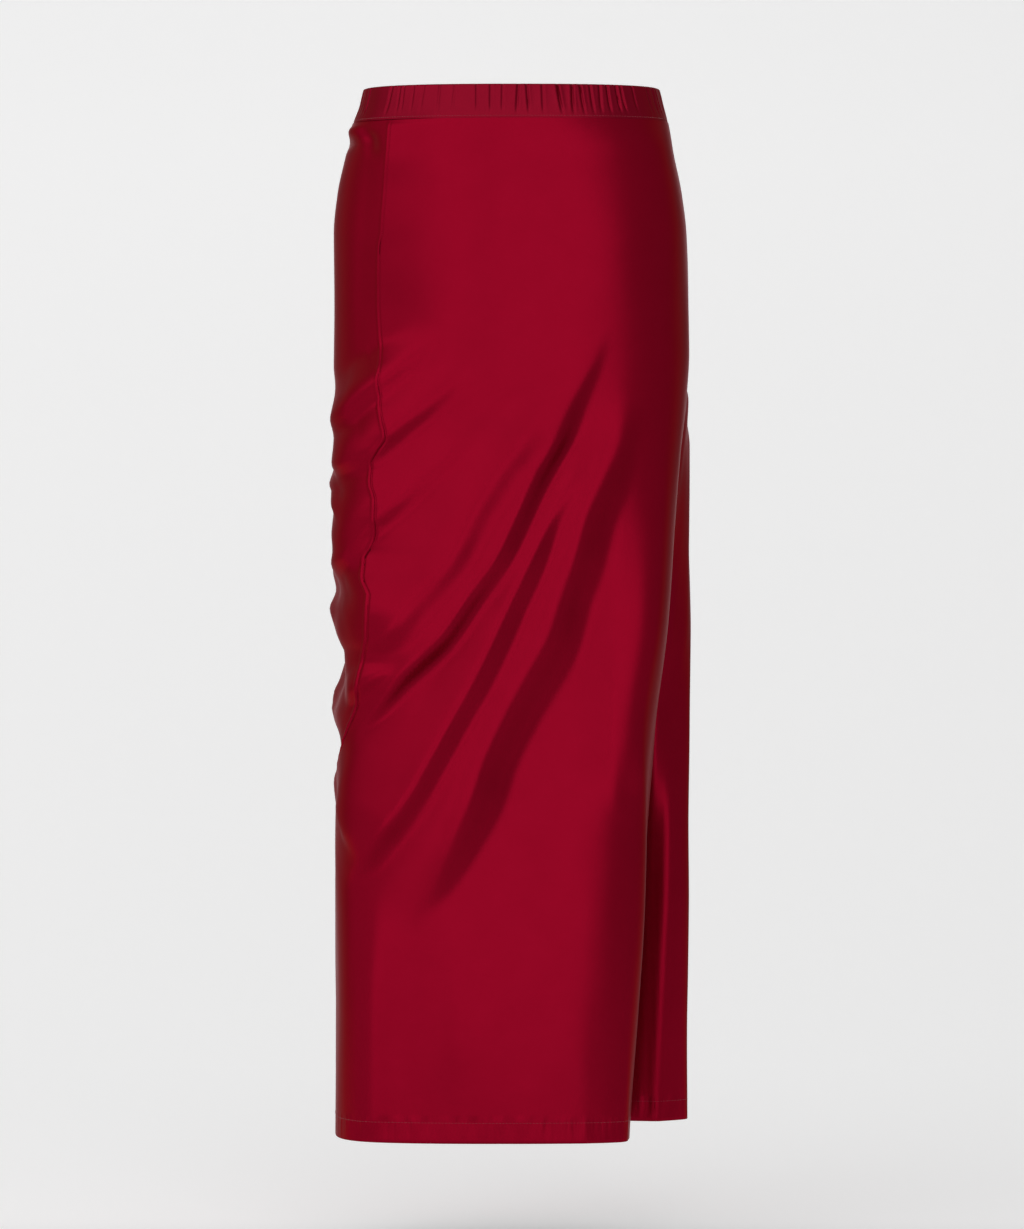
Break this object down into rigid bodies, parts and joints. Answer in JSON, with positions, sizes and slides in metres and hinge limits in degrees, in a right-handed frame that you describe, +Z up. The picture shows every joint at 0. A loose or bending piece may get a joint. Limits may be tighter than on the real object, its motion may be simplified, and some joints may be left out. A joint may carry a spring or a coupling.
{
  "type": "gathered maxi skirt",
  "caption": "Long close satin-jersey skirt with an elastic gathered waistband, a ruched side seam and a deep flute at the other side, hollow as worn.",
  "frame": {"origin": "centre of the waistband, midway between its top and bottom edges, where the wearer's waist holds the skirt up", "axes": "+Z up out of the waist, front of the skirt towards -Y, ruched side seam on the -X side"},
  "size_m": [0.3476, 0.2804, 0.997],
  "materials": {
    "skirt_cloth": "deep red satin jersey with a soft sheen",
    "band_cloth": "deep red satin jersey, gathered on elastic"
  },
  "bodies": {
    "root": {"waistband": "band_cloth", "front_panel": "skirt_cloth", "back_panel": "skirt_cloth"}
  },
  "joints": []
}
